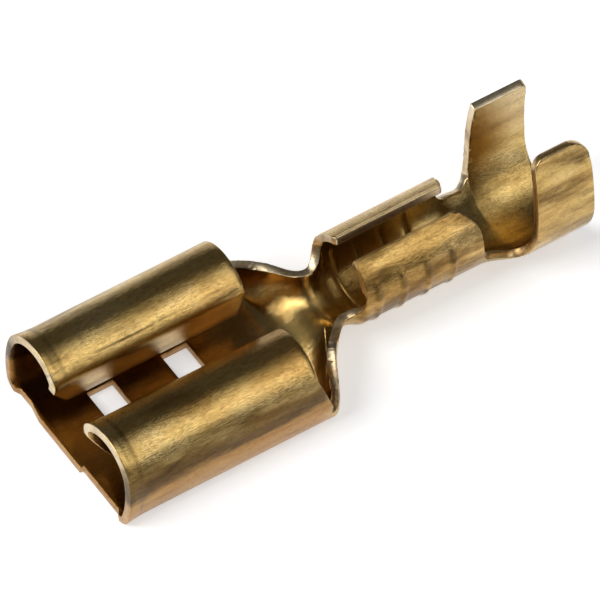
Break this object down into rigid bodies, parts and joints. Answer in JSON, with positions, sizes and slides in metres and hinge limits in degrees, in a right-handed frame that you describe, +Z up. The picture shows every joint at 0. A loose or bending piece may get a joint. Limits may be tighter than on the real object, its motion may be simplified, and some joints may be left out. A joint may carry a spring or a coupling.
{
  "type": "female spade terminal",
  "caption": "Open-barrel push-on blade receptacle folded from sheet brass, with a wire crimp barrel and an insulation crimp barrel.",
  "frame": {"origin": "middle of the bounding box, in the plane of the receptacle floor's underside", "axes": "+Y along the terminal from the mouth to the wire end, +Z up out of the open barrels, X across it"},
  "size_m": [0.0078, 0.0204, 0.006],
  "materials": {
    "brass": "drawn and tarnished"
  },
  "bodies": {
    "root": {"terminal": "brass"}
  },
  "joints": []
}
